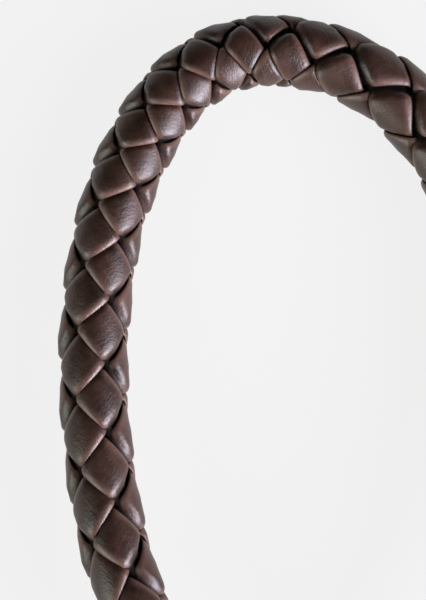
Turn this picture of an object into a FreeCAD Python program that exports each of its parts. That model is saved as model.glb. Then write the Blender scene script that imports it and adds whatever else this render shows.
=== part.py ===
import FreeCAD, Part
import Sketcher
import math
import os

# A short riding crop with a plaited leather handle, a plaited leather wrist loop and a folded leather
# keeper. The crop lies level on a table: its axis runs along Y at the height of the butt cap's radius,
# the keeper towards -Y and the wrist loop towards +Y. Stations along the crop are counted in mm from the
# keeper's end. The origin is on the table, midway between the keeper's end and the butt cap's mouth.

SIZES = [
    ("crop_length", 520.0, "keeper's end to the butt cap's mouth"),
    ("cord_diameter", 10.3, "plaited wrist loop"),
    ("core_diameter", 6.0, "core cord inside the plait"),
    ("cord_spacing", 10.6, "between the two legs of the loop in the cap"),
    ("cord_clearance", 0.1, "around a leg in its socket"),
    ("running_gap", 0.05, "radial gap between nested pieces"),
    ("cap_radius", 14.0, "butt cap"),
    ("cap_start", 489.0, "lower rim of the cap's skirt"),
    ("cap_wall", 1.5, "skirt"),
    ("cap_roof", 3.0, "roof with the mouth"),
    ("cap_edge", 1.8, "rounding of the roof's outer edge"),
    ("pin_radius", 1.5, "cross pin through both legs"),
    ("pin_station", 507.0, "cross pin"),
    ("brad_radius", 0.7, "brads that hold the cap"),
    ("brad_head", 1.3, "radius of a brad's head"),
    ("brad_length", 4.2, "under the head"),
    ("brad_station", 495.0, "brads"),
    ("socket_floor", 498.0, "bottom of the legs' socket in the former"),
    ("former_start", 356.0, "lower end of the grip"),
    ("former_radius", 8.4, "under the plait"),
    ("former_head", 492.0, "where the former widens into the cap"),
    ("grip_start_radius", 10.9, "plaited cover, lower end"),
    ("grip_swell_radius", 11.8, "plaited cover, palm swell"),
    ("grip_end_radius", 11.2, "plaited cover, upper end"),
    ("grip_swell", 428.0, "palm swell"),
    ("knot_width", 15.0, "each woven knot along the crop"),
    ("knot_bore", 11.55, "radius inside a knot"),
    ("knot_bevel", 2.0, "rounded shoulders of a knot"),
    ("lower_knot_start", 356.5, "knot over the grip's lower end"),
    ("upper_knot_start", 473.0, "knot below the cap"),
    ("ferrule_start", 334.0, "thin end of the ferrule"),
    ("ferrule_thin", 6.3, "radius at the thin end"),
    ("ferrule_thick", 10.6, "radius where it meets the grip"),
    ("ferrule_bore", 5.15, "over the shaft's cover"),
    ("ferrule_rim", 2.0, "parallel rim at either end"),
    ("rod_tip", 96.0, "thin end of the rod"),
    ("rod_end", 488.0, "thick end of the rod, in the former"),
    ("rod_tip_radius", 2.1, "rod at the tip"),
    ("rod_butt_radius", 3.8, "rod in the grip"),
    ("cover_start", 122.5, "shaft cover, lower end"),
    ("cover_end", 352.0, "shaft cover, upper end"),
    ("cover_thickness", 1.2, "plaited thread over the rod"),
    ("sleeve_start", 94.0, "closed end of the tip sleeve"),
    ("sleeve_end", 112.0, "open end of the tip sleeve"),
    ("sleeve_radius", 3.1, "tip sleeve"),
    ("neck_start", 93.0, "keeper's neck round the tip"),
    ("neck_end", 122.0, "keeper's neck, upper end"),
    ("neck_radius", 4.6, "keeper's neck"),
    ("whipping_start", 98.0, "waxed thread over the neck"),
    ("whipping_end", 126.0, "waxed thread, upper end"),
    ("whipping_radius", 5.4, "waxed thread"),
    ("flap_length", 90.0, "keeper's flap, fold to hinge line"),
    ("flap_width", 30.0, "keeper's flap"),
    ("flap_shoulder", 54.0, "where the flap starts to narrow"),
    ("flap_neck_width", 13.0, "at the hinge line"),
    ("flap_corner", 3.0, "bevel of the folded end's corners"),
    ("leaf_thickness", 1.7, "one leaf of the keeper"),
    ("leaf_gap", 0.4, "between the two leaves"),
    ("fold_depth", 2.2, "solid leather at the fold"),
    ("flap_hinge", 92.5, "station of the keeper's bending line"),
    ("rivet_radius", 1.2, "shank"),
    ("rivet_head", 2.8, "radius of a rivet's head"),
    ("rivet_head_height", 0.9, "either face"),
    ("rivet_first", 70.0, "station of the first rivet"),
    ("rivet_second", 82.0, "station of the second rivet"),
    ("stitch_length", 2.8, "one stitch"),
    ("stitch_pitch", 4.2, "between stitches"),
    ("stitch_width", 0.7, "thread"),
    ("stitch_height", 0.4, "above the leather"),
    ("stitch_inset", 2.2, "seam from the flap's edge"),
    ("stitch_first", 6.0, "station of the first stitch"),
    ("collar_start", 520.5, "leather collar round both legs"),
    ("collar_length", 14.0, "collar along the legs"),
    ("collar_wall", 1.5, "leather of the collar"),
    ("collar_stitches", 4.0, "stitches that close the collar"),
    ("ends_length", 36.7, "each held end of the loop"),
    ("loop_hinge", 540.5, "station of the loop's bending line"),
]

# The loop's centreline past the collar, in mm. It leaves the crop's axis height, sinks to the table and
# lies there round its bend.
LOOP_ROUTE = [
    (-5.3, 280.5, 14.0),
    (-6.0, 291.0, 13.7),
    (-13.5, 308.0, 12.0),
    (-21.0, 323.5, 9.8),
    (-25.5, 339.5, 7.9),
    (-27.0, 356.0, 6.4),
    (-25.7, 372.5, 5.5),
    (-20.2, 389.0, 5.4),
    (-9.0, 401.0, 5.4),
    (8.0, 399.5, 5.4),
    (21.5, 388.5, 5.4),
    (27.0, 373.0, 5.5),
    (28.3, 356.0, 6.2),
    (28.2, 339.5, 7.6),
    (26.0, 323.5, 9.5),
    (18.0, 308.0, 11.8),
    (7.2, 292.5, 13.7),
    (5.3, 280.5, 14.0),
]

document = FreeCAD.newDocument("riding_crop")
sheet = document.addObject("Spreadsheet::Sheet", "Sizes")
for row, (word, number, note) in enumerate(SIZES, start=1):
    sheet.set(f"A{row}", word)
    sheet.set(f"B{row}", str(number))
    sheet.set(f"C{row}", note)
    sheet.setAlias(f"B{row}", word)
document.recompute()


class Size:
    """A length that carries its value and the spreadsheet expression that gives it."""

    def __init__(self, value, text):
        self.value = value
        self.text = text

    def __add__(self, other):
        other = as_size(other)
        return Size(self.value + other.value, f"({self.text} + {other.text})")

    def __sub__(self, other):
        other = as_size(other)
        return Size(self.value - other.value, f"({self.text} - {other.text})")

    def __mul__(self, factor):
        factor = as_size(factor)
        return Size(self.value * factor.value, f"({self.text} * {factor.text})")

    def __truediv__(self, divisor):
        divisor = as_size(divisor)
        return Size(self.value / divisor.value, f"({self.text} / {divisor.text})")

    def __neg__(self):
        return Size(-self.value, f"(0 - {self.text})")


def as_size(length):
    """A plain number as a Size; a Size as it is."""
    return length if isinstance(length, Size) else Size(float(length), repr(float(length)))


def size(word):
    """The named cell of the spreadsheet."""
    return Size(float(sheet.get(word)), f"Sizes.{word}")


zero = as_size(0.0)
axis_height = size("cap_radius")
half_length = size("crop_length") / 2
parts = {}


def at_station(station, x=0.0, z=0.0):
    """The placement of a piece whose own origin is on the crop's axis at a station."""
    base = FreeCAD.Vector(x, as_size(station).value - half_length.value, z + axis_height.value)
    return FreeCAD.Placement(base, FreeCAD.Rotation())


def new_body(label, station):
    """A PartDesign body that starts on the crop's axis at a station."""
    body = document.addObject("PartDesign::Body", label)
    body.Label = label
    body.Placement = at_station(station)
    parts[label] = body
    return body


def new_sketch(body, plane, offset=None):
    """A sketch on one of the body's own origin planes, moved along the plane's normal by the offset."""
    sketch = body.newObject("Sketcher::SketchObject", f"{body.Name}_sketch")
    support = next(item for item in body.Origin.OriginFeatures if item.Role == f"{plane}_Plane")
    sketch.AttachmentSupport = [(support, "")]
    sketch.MapMode = "FlatFace"
    if offset is not None:
        sketch.setExpression("AttachmentOffset.Base.z", offset.text)
    return sketch


def hold(sketch, geometry, point, x, y):
    """Holds one point of a sketch at x and y from the sketch's origin."""
    for kind, length, axis in (("DistanceX", x, -2), ("DistanceY", y, -1)):
        if length.value == 0:
            sketch.addConstraint(Sketcher.Constraint("PointOnObject", geometry, point, axis))
            continue
        index = sketch.addConstraint(Sketcher.Constraint(kind, -1, 1, geometry, point, length.value))
        sketch.setExpression(f"Constraints[{index}]", length.text)


def draw_outline(sketch, corners):
    """A closed outline of straight edges through corners given as pairs of Sizes."""
    corners = [(as_size(x), as_size(y)) for x, y in corners]
    vectors = [FreeCAD.Vector(x.value, y.value, 0) for x, y in corners]
    first = sketch.GeometryCount
    count = len(corners)
    for index in range(count):
        sketch.addGeometry(Part.LineSegment(vectors[index], vectors[(index + 1) % count]), False)
    for index, (x, y) in enumerate(corners):
        following = first + (index + 1) % count
        sketch.addConstraint(Sketcher.Constraint("Coincident", first + index, 2, following, 1))
        hold(sketch, first + index, 1, x, y)


def draw_circle(sketch, x, y, radius):
    """A circle with its centre held at x and y."""
    centre = FreeCAD.Vector(x.value, y.value, 0)
    index = sketch.addGeometry(Part.Circle(centre, FreeCAD.Vector(0, 0, 1), radius.value), False)
    hold(sketch, index, 3, x, y)
    bound = sketch.addConstraint(Sketcher.Constraint("Radius", index, radius.value))
    sketch.setExpression(f"Constraints[{bound}]", radius.text)


def draw_obround(sketch, half_spacing, radius):
    """A slot with round ends, centred on the sketch's origin and long along its first axis."""
    a = half_spacing.value
    r = radius.value
    up = FreeCAD.Vector(0, 0, 1)
    right = Part.Circle(FreeCAD.Vector(a, 0, 0), up, r)
    left = Part.Circle(FreeCAD.Vector(-a, 0, 0), up, r)
    sketch.addGeometry(Part.ArcOfCircle(right, -math.pi / 2, math.pi / 2), False)
    sketch.addGeometry(Part.LineSegment(FreeCAD.Vector(a, r, 0), FreeCAD.Vector(-a, r, 0)), False)
    sketch.addGeometry(Part.ArcOfCircle(left, math.pi / 2, 3 * math.pi / 2), False)
    sketch.addGeometry(Part.LineSegment(FreeCAD.Vector(-a, -r, 0), FreeCAD.Vector(a, -r, 0)), False)
    for one, end, other, start in ((0, 2, 1, 1), (1, 2, 2, 1), (2, 2, 3, 1), (3, 2, 0, 1)):
        sketch.addConstraint(Sketcher.Constraint("Tangent", one, end, other, start))
    hold(sketch, 0, 3, half_spacing, zero)
    hold(sketch, 2, 3, -half_spacing, zero)
    bound = sketch.addConstraint(Sketcher.Constraint("Radius", 0, r))
    sketch.setExpression(f"Constraints[{bound}]", radius.text)


def turned(label, station, corners):
    """A piece turned about the crop's axis: corners are (radius, distance past the station)."""
    body = new_body(label, station)
    sketch = new_sketch(body, "XY")
    draw_outline(sketch, corners)
    turning = body.newObject("PartDesign::Revolution", f"{label}_turning")
    turning.Profile = sketch
    turning.ReferenceAxis = (sketch, ["V_Axis"])
    turning.Angle = 360
    document.recompute()
    return body


def cut_both_ways(body, sketch, depth):
    """A pocket that reaches half the depth to either side of the sketch; it must take volume away."""
    before = body.Shape.Volume
    pocket = body.newObject("PartDesign::Pocket", f"{sketch.Name}_cut")
    pocket.Profile = sketch
    pocket.SideType = "Symmetric"
    pocket.setExpression("Length", depth.text)
    document.recompute()
    if body.Shape.Volume >= before:
        raise RuntimeError(f"{pocket.Name} cuts nothing")


def padded_both_ways(body, sketch, depth):
    """A pad that reaches half the depth to either side of the sketch."""
    pad = body.newObject("PartDesign::Pad", f"{sketch.Name}_pad")
    pad.Profile = sketch
    pad.SideType = "Symmetric"
    pad.setExpression("Length", depth.text)
    document.recompute()


def rod_radius(station):
    """The rod's radius on its taper, which runs straight from the tip to the grip."""
    rise = size("rod_butt_radius") - size("rod_tip_radius")
    run = size("former_start") - size("rod_tip")
    return size("rod_tip_radius") + rise * (station - size("rod_tip")) / run


gap = size("running_gap")
leg_offset = size("cord_spacing") / 2
cord_radius = size("cord_diameter") / 2

# The tapered core rod: thin at the keeper, parallel inside the grip.
rod_start = size("rod_tip")
turned("shaft_rod", rod_start, [
    (zero, zero),
    (size("rod_tip_radius"), zero),
    (size("rod_butt_radius"), size("former_start") - rod_start),
    (size("rod_butt_radius"), size("rod_end") - rod_start),
    (zero, size("rod_end") - rod_start),
])

# The metal sleeve that caps the rod's thin end, so that it doesn't wear through the keeper.
sleeve_start = size("sleeve_start")
sleeve_bore = rod_radius(size("sleeve_end")) + gap
turned("tip_sleeve", sleeve_start, [
    (zero, zero),
    (size("sleeve_radius"), zero),
    (size("sleeve_radius"), size("sleeve_end") - sleeve_start),
    (sleeve_bore, size("sleeve_end") - sleeve_start),
    (sleeve_bore, rod_start - sleeve_start),
    (zero, rod_start - sleeve_start),
])

# The plaited thread cover that follows the rod's taper from the whipping into the ferrule.
cover_start = size("cover_start")
cover_run = size("cover_end") - cover_start
cover_thickness = size("cover_thickness")
turned("shaft_cover", cover_start, [
    (rod_radius(cover_start) + gap, zero),
    (rod_radius(cover_start) + cover_thickness, zero),
    (rod_radius(size("cover_end")) + cover_thickness, cover_run),
    (rod_radius(size("cover_end")) + gap, cover_run),
])

# The tapered metal ferrule between the shaft and the grip.
ferrule_start = size("ferrule_start")
ferrule_run = size("former_start") - ferrule_start
ferrule_rim = size("ferrule_rim")
turned("ferrule", ferrule_start, [
    (size("ferrule_bore"), zero),
    (size("ferrule_thin"), zero),
    (size("ferrule_thin"), ferrule_rim),
    (size("ferrule_thick"), ferrule_run - ferrule_rim),
    (size("ferrule_thick"), ferrule_run),
    (size("ferrule_bore"), ferrule_run),
])

# The turned wooden former: a stem under the plait, and a head that fills the cap and holds the legs.
former_start = size("former_start")
head_run = size("former_head") - former_start
former_run = size("crop_length") - size("cap_roof") - former_start - gap
head_radius = size("cap_radius") - size("cap_wall") - gap
former = turned("grip_former", former_start, [
    (size("rod_butt_radius") + gap, zero),
    (size("former_radius"), zero),
    (size("former_radius"), head_run),
    (head_radius, head_run),
    (head_radius, former_run),
    (zero, former_run),
    (zero, size("rod_end") + gap - former_start),
    (size("rod_butt_radius") + gap, size("rod_end") + gap - former_start),
])
socket_depth = former_start + former_run - size("socket_floor")
socket = new_sketch(former, "XZ", -former_run)
draw_obround(socket, leg_offset, cord_radius + size("cord_clearance"))
cut_both_ways(former, socket, socket_depth * 2)
former_pin_hole = new_sketch(former, "YZ")
draw_circle(former_pin_hole, size("pin_station") - former_start, zero, size("pin_radius") + gap)
cut_both_ways(former, former_pin_hole, size("cap_radius") * 3)

# The plaited leather cover of the grip, with a slight palm swell.
grip_start = former_start + gap
turned("grip_cover", grip_start, [
    (size("former_radius") + gap, zero),
    (size("grip_start_radius"), zero),
    (size("grip_swell_radius"), size("grip_swell") - grip_start),
    (size("grip_end_radius"), size("former_head") - gap - grip_start),
    (size("former_radius") + gap, size("former_head") - gap - grip_start),
])

# Two woven leather knots that close the ends of the plait. The lower one stands on the table with the cap.
for label, start in (("lower_knot", "lower_knot_start"), ("upper_knot", "upper_knot_start")):
    bevel = size("knot_bevel")
    width = size("knot_width")
    turned(label, size(start), [
        (size("knot_bore"), zero),
        (size("cap_radius") - bevel, zero),
        (size("cap_radius"), bevel),
        (size("cap_radius"), width - bevel),
        (size("cap_radius") - bevel, width),
        (size("knot_bore"), width),
    ])

# The plated brass butt cap: a cup with a slotted roof that lets both legs of the loop through.
cap_start = size("cap_start")
cap_run = size("crop_length") - cap_start
cap = turned("butt_cap", cap_start, [
    (size("cap_radius") - size("cap_wall"), zero),
    (size("cap_radius"), zero),
    (size("cap_radius"), cap_run - size("cap_edge")),
    (size("cap_radius") - size("cap_edge"), cap_run),
    (zero, cap_run),
    (zero, cap_run - size("cap_roof")),
    (size("cap_radius") - size("cap_wall"), cap_run - size("cap_roof")),
])
mouth = new_sketch(cap, "XZ", -cap_run)
draw_obround(mouth, leg_offset, cord_radius + size("cord_clearance") * 2)
cut_both_ways(cap, mouth, size("cap_roof") * 4)
cap_pin_hole = new_sketch(cap, "YZ")
draw_circle(cap_pin_hole, size("pin_station") - cap_start, zero, size("pin_radius") + gap)
cut_both_ways(cap, cap_pin_hole, size("cap_radius") * 3)

# The steel cross pin through the cap, the former and both legs, filed flush with the cap.
pin = document.addObject("Part::Cylinder", "loop_pin")
pin.Label = "loop_pin"
pin.setExpression("Radius", "Sizes.pin_radius")
pin.setExpression("Height", "Sizes.cap_radius * 2")
pin.Placement = at_station(size("pin_station"), x=-size("cap_radius").value)
pin.Placement.Rotation = FreeCAD.Rotation(FreeCAD.Vector(0, 1, 0), 90)
parts["loop_pin"] = pin


def gathered(label, pieces):
    """Separate solids of one kind that share a node."""
    group = document.addObject("Part::Compound", label)
    group.Label = label
    group.Links = pieces
    parts[label] = group


# Three round-headed brads through the cap's skirt into the former's head.
brads = []
for index in range(3):
    outwards = FreeCAD.Rotation(FreeCAD.Vector(0, 1, 0), 120 * index)
    surface = outwards.multVec(FreeCAD.Vector(0, 0, size("cap_radius").value))
    nail = document.addObject("Part::Cylinder", f"brad_nail_{index}")
    nail.setExpression("Radius", "Sizes.brad_radius")
    nail.setExpression("Height", "Sizes.brad_length")
    inner = outwards.multVec(FreeCAD.Vector(0, 0, size("cap_radius").value - size("brad_length").value))
    nail.Placement = at_station(size("brad_station"), inner.x, inner.z)
    nail.Placement.Rotation = outwards
    head = document.addObject("Part::Cone", f"brad_head_{index}")
    head.setExpression("Radius1", "Sizes.brad_head")
    head.setExpression("Radius2", "Sizes.brad_radius")
    head.setExpression("Height", "Sizes.brad_radius / 2")
    head.Placement = at_station(size("brad_station"), surface.x, surface.z)
    head.Placement.Rotation = outwards
    brad = document.addObject("Part::Fuse", f"brad_{index}")
    brad.Base = nail
    brad.Tool = head
    brads.append(brad)
gathered("cap_brads", brads)

# The two ends of the plaited loop, held in the former, the cap and the collar.
ends = []
for side in (-1, 1):
    leg = document.addObject("Part::Cylinder", f"leg_{'left' if side < 0 else 'right'}")
    leg.setExpression("Radius", "Sizes.cord_diameter / 2")
    leg.setExpression("Height", "Sizes.ends_length")
    leg.Placement = at_station(size("socket_floor") + gap, x=side * leg_offset.value)
    leg.Placement.Rotation = FreeCAD.Rotation(FreeCAD.Vector(1, 0, 0), -90)
    bore = document.addObject("Part::Cylinder", f"{leg.Name}_bore")
    bore.setExpression("Radius", "Sizes.pin_radius + Sizes.running_gap")
    bore.setExpression("Height", "Sizes.cap_radius * 2")
    bore.Placement = pin.Placement
    end = document.addObject("Part::Cut", f"{leg.Name}_end")
    end.Base = leg
    end.Tool = bore
    ends.append(end)
gathered("loop_ends", ends)

# The leather collar that keeps the two legs together at the cap's mouth.
collar = new_body("loop_collar", size("collar_start") + size("collar_length") / 2)
collar_bore = cord_radius + size("cord_clearance")
collar_outside = new_sketch(collar, "XZ")
draw_obround(collar_outside, leg_offset, collar_bore + size("collar_wall"))
padded_both_ways(collar, collar_outside, size("collar_length"))
collar_inside = new_sketch(collar, "XZ")
draw_obround(collar_inside, leg_offset, collar_bore)
cut_both_ways(collar, collar_inside, size("collar_length") * 2)


def stitch(name, station, x, z, turn=0.0):
    """One stitch lying on a face, with its middle at x and a station, turned about the face's normal."""
    thread = document.addObject("Part::Box", name)
    thread.setExpression("Length", "Sizes.stitch_width")
    thread.setExpression("Width", "Sizes.stitch_length")
    thread.setExpression("Height", "Sizes.stitch_height")
    turned_by = FreeCAD.Rotation(FreeCAD.Vector(0, 0, 1), turn)
    half = FreeCAD.Vector(-size("stitch_width").value / 2, -size("stitch_length").value / 2, 0)
    corner = turned_by.multVec(half)
    thread.Placement = at_station(as_size(station) + corner.y, x + corner.x, z)
    thread.Placement.Rotation = turned_by
    return thread


# The row of stitches that closes the collar along the middle of its upper face.
collar_top = (collar_bore + size("collar_wall")).value
collar_middle = size("collar_start").value + size("collar_length").value / 2
collar_count = int(size("collar_stitches").value)
collar_pitch = size("stitch_length").value + size("stitch_width").value
gathered("collar_stitching", [
    stitch(
        f"collar_stitch_{index}",
        collar_middle + (index - (collar_count - 1) / 2) * collar_pitch,
        0.0,
        collar_top,
    )
    for index in range(collar_count)
])


def rounded_path(points):
    """Straight runs joined by tangent arcs, as edges, with the arcs' radii in order."""
    corners = [FreeCAD.Vector(*point) for point in points]
    edges, radii = [], []
    start = corners[0]
    for before, corner, after in zip(corners, corners[1:], corners[2:]):
        incoming = (corner - before).normalize()
        outgoing = (after - corner).normalize()
        half_turn = incoming.getAngle(outgoing) / 2
        tangent = 0.45 * min((corner - before).Length, (after - corner).Length)
        arc_start = corner - incoming * tangent
        arc_end = corner + outgoing * tangent
        radius = tangent / math.tan(half_turn)
        inwards = (outgoing - incoming).normalize()
        middle = corner + inwards * (radius / math.cos(half_turn) - radius)
        edges.append(Part.LineSegment(start, arc_start).toShape())
        edges.append(Part.Arc(arc_start, middle, arc_end).toShape())
        radii.append(radius)
        start = arc_end
    edges.append(Part.LineSegment(start, corners[-1]).toShape())
    return edges, radii


def swept(edges, radius):
    """A solid round bar of a radius along the edges, with its volume checked."""
    path = Part.Wire(edges)
    start = edges[0].Vertexes[0].Point
    direction = edges[0].Vertexes[-1].Point - start
    section = Part.Wire(Part.Circle(start, direction, radius).toShape())
    bar = path.makePipeShell([section], True, False)
    expected = math.pi * radius**2 * path.Length
    print(f"bar of radius {radius:.2f}: length {path.Length:.1f}, volume {bar.Volume:.0f} of {expected:.0f}")
    if abs(bar.Volume / expected - 1) > 0.01:
        raise RuntimeError("the swept bar's volume isn't its section times its length")
    return bar


# The free part of the wrist loop, a hollow plait over a core cord. Its two ends are rounded, so that
# they turn freely above the held ends.
loop_edges, loop_radii = rounded_path(LOOP_ROUTE)
print("loop's arc radii:", [round(radius, 1) for radius in loop_radii])
plait = swept(loop_edges, cord_radius.value)
hollow = swept(loop_edges, size("core_diameter").value / 2 + gap.value)
core = swept(loop_edges, size("core_diameter").value / 2)
for end, following in ((LOOP_ROUTE[0], LOOP_ROUTE[1]), (LOOP_ROUTE[-1], LOOP_ROUTE[-2])):
    outwards = FreeCAD.Vector(*end) - FreeCAD.Vector(*following)
    dome = Part.makeSphere(cord_radius.value, FreeCAD.Vector(*end), outwards, 0, 90, 360)
    plait = plait.fuse(dome)
for label, shape in (("wrist_loop", plait.cut(hollow)), ("loop_core", core)):
    feature = document.addObject("Part::Feature", label)
    feature.Label = label
    feature.Shape = shape
    feature.Placement = FreeCAD.Placement()
    parts[label] = feature

# The keeper's neck, rolled round the tip, and the waxed thread bound over it.
neck_start = size("neck_start")
turned("keeper_neck", neck_start, [
    (size("sleeve_radius") + gap, zero),
    (size("neck_radius"), zero),
    (size("neck_radius"), size("neck_end") - neck_start),
    (size("sleeve_radius") + gap, size("neck_end") - neck_start),
])
whipping_start = size("whipping_start")
turned("keeper_whipping", whipping_start, [
    (size("neck_radius") + gap, zero),
    (size("whipping_radius"), zero),
    (size("whipping_radius"), size("whipping_end") - whipping_start),
    (size("neck_radius") + gap, size("whipping_end") - whipping_start),
])

# The keeper's flap: one strip folded into two leaves, narrowing to the neck, bent at its neck.
flap = new_body("keeper_flap", zero)
flap_thickness = size("leaf_thickness") * 2 + size("leaf_gap")
half_width = size("flap_width") / 2
half_neck = size("flap_neck_width") / 2
corner = size("flap_corner")
flap_outline = new_sketch(flap, "XY")
draw_outline(flap_outline, [
    (corner - half_width, zero),
    (half_width - corner, zero),
    (half_width, corner),
    (half_width, size("flap_shoulder")),
    (half_neck, size("flap_length")),
    (-half_neck, size("flap_length")),
    (-half_width, size("flap_shoulder")),
    (-half_width, corner),
])
padded_both_ways(flap, flap_outline, flap_thickness)
half_gap = size("leaf_gap") / 2
between_leaves = new_sketch(flap, "YZ")
draw_outline(between_leaves, [
    (size("fold_depth"), -half_gap),
    (size("flap_length") + 1, -half_gap),
    (size("flap_length") + 1, half_gap),
    (size("fold_depth"), half_gap),
])
cut_both_ways(flap, between_leaves, size("flap_width") * 2)
rivet_holes = new_sketch(flap, "XY")
for station in ("rivet_first", "rivet_second"):
    draw_circle(rivet_holes, zero, size(station), size("rivet_radius") + gap)
cut_both_ways(flap, rivet_holes, flap_thickness * 2)

# Two tubular rivets through both leaves.
rivets = []
for station in ("rivet_first", "rivet_second"):
    shank = document.addObject("Part::Cylinder", f"{station}_shank")
    shank.setExpression("Radius", "Sizes.rivet_radius")
    shank.setExpression("Height", flap_thickness.text)
    shank.Placement = at_station(size(station), z=-flap_thickness.value / 2)
    rivet_solids = [shank]
    for side in (-1, 1):
        head = document.addObject("Part::Cone", f"{station}_{'lower' if side < 0 else 'upper'}")
        head.setExpression("Radius1", "Sizes.rivet_head")
        head.setExpression("Radius2", "Sizes.rivet_head * 0.6")
        head.setExpression("Height", "Sizes.rivet_head_height")
        head.Placement = at_station(size(station), z=side * flap_thickness.value / 2)
        head.Placement.Rotation = FreeCAD.Rotation(FreeCAD.Vector(1, 0, 0), 0 if side > 0 else 180)
        rivet_solids.append(head)
    rivet = document.addObject("Part::MultiFuse", f"{station}_rivet")
    rivet.Shapes = rivet_solids
    rivets.append(rivet)
gathered("keeper_rivets", rivets)

# The seam along both edges of the flap, seen on both faces: straight, then following the narrowing.
seam = []
first = size("stitch_first").value
pitch = size("stitch_pitch").value
shoulder = size("flap_shoulder").value
narrowing = (half_width - half_neck).value / (size("flap_length").value - shoulder)
lean = math.degrees(math.atan(narrowing))
stitch_count = int((size("flap_length").value - 2 * first) / pitch) + 1
for face in (-1, 1):
    lift = flap_thickness.value / 2 if face > 0 else -flap_thickness.value / 2 - size("stitch_height").value
    for side in (-1, 1):
        for index in range(stitch_count):
            station = first + index * pitch
            past_shoulder = max(0.0, station - shoulder)
            x = half_width.value - size("stitch_inset").value - past_shoulder * narrowing
            turn = side * lean if past_shoulder else 0.0
            seam.append(stitch(f"seam_stitch_{len(seam)}", station, side * x, lift, turn))
gathered("keeper_stitching", seam)

document.recompute()
for item in document.Objects:
    if "Invalid" in item.State or "Error" in item.State:
        raise RuntimeError(f"{item.Label} failed: {item.State}")
os.makedirs("parts", exist_ok=True)
for label, part in parts.items():
    shape = part.Shape
    if shape.isNull() or not shape.isValid() or not shape.Solids:
        raise RuntimeError(f"{label} has no valid solid")
    print(f"{label}: {len(shape.Solids)} solid(s), {shape.Volume:.1f} mm3")
    shape.exportStep(os.path.join("parts", f"{label}.step"))
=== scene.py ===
import bpy
import math
import numpy as np
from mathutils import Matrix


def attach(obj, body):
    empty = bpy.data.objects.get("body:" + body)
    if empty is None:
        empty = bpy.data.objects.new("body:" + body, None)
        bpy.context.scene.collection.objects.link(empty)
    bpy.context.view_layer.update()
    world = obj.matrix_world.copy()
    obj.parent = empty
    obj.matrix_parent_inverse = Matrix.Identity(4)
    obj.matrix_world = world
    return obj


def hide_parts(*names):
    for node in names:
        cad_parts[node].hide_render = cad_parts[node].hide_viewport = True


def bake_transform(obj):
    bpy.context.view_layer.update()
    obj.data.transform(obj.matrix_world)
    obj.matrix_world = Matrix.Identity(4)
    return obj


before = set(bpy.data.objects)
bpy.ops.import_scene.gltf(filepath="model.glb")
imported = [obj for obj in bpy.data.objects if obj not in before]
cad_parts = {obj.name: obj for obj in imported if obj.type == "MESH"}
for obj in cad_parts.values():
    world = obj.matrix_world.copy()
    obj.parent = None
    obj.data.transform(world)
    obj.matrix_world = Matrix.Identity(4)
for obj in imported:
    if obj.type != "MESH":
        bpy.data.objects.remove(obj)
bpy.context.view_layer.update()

# ---- Camera ----------------------------------------------------------------------------------------
# The crop lies on a pale table and is seen from straight above, close in on the bend of the wrist loop:
# 59 mm by 83 mm of table fill the frame. The long lens keeps the plait free of perspective.
VIEW_HEIGHT = 0.0833
VIEW_CENTRE = (-0.0100, 0.3656)
CAMERA_HEIGHT = 0.62
BEND_HEIGHT = 0.0055

camera_data = bpy.data.cameras.new("camera")
camera_data.sensor_width = 36.0
camera_data.lens = camera_data.sensor_width * (CAMERA_HEIGHT - BEND_HEIGHT) / VIEW_HEIGHT
camera = bpy.data.objects.new("camera", camera_data)
camera.location = (*VIEW_CENTRE, CAMERA_HEIGHT)
bpy.context.scene.collection.objects.link(camera)
bpy.context.scene.camera = camera
bpy.context.scene.view_settings.view_transform = "Standard"


# ---- Wrist loop ------------------------------------------------------------------------------------
# A round plait of six glazed leather laces over a core cord, over one and under one. Both of its ends
# are pinned in the butt cap; between them the stiff plait bends round through a little over a half turn
# and lies on the table. The laces are 6 mm wide and 1 mm thick, dark chocolate, with painted edges.
LOOP_ROUTE = [
    (-0.0053, 0.2465, 0.0140),
    (-0.0053, 0.2640, 0.0140),
    (-0.0053, 0.2805, 0.0140),
    (-0.0080, 0.2960, 0.0134),
    (-0.0157, 0.3120, 0.0116),
    (-0.0231, 0.3280, 0.0092),
    (-0.0262, 0.3450, 0.0071),
    (-0.0269, 0.3620, 0.0058),
    (-0.0234, 0.3830, 0.0053),
    (-0.0112, 0.4007, 0.0053),
    (0.0098, 0.3996, 0.0053),
    (0.0249, 0.3845, 0.0053),
    (0.0283, 0.3640, 0.0057),
    (0.0284, 0.3440, 0.0071),
    (0.0267, 0.3250, 0.0093),
    (0.0190, 0.3075, 0.0119),
    (0.0078, 0.2930, 0.0136),
    (0.0053, 0.2805, 0.0140),
    (0.0053, 0.2640, 0.0140),
    (0.0053, 0.2465, 0.0140),
]


def route_points(name, route):
    """Points of the smooth curve that a route steers: an order-3 spline with the route as its control
    points, read back from the curve's own line. The curve itself is taken away again."""
    curve = bpy.data.curves.new(name, "CURVE")
    curve.dimensions = "3D"
    spline = curve.splines.new("NURBS")
    spline.points.add(len(route) - 1)
    for point, place in zip(spline.points, route):
        point.co = (*place, 1.0)
    spline.use_endpoint_u = True
    spline.order_u = 3
    spline.resolution_u = 24
    holder = bpy.data.objects.new(name, curve)
    bpy.context.scene.collection.objects.link(holder)
    bpy.context.view_layer.update()
    line = bpy.data.meshes.new_from_object(holder.evaluated_get(bpy.context.evaluated_depsgraph_get()))
    points = np.empty(len(line.vertices) * 3)
    line.vertices.foreach_get("co", points)
    bpy.data.objects.remove(holder)
    bpy.data.curves.remove(curve)
    bpy.data.meshes.remove(line)
    return points.reshape(-1, 3)


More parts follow.
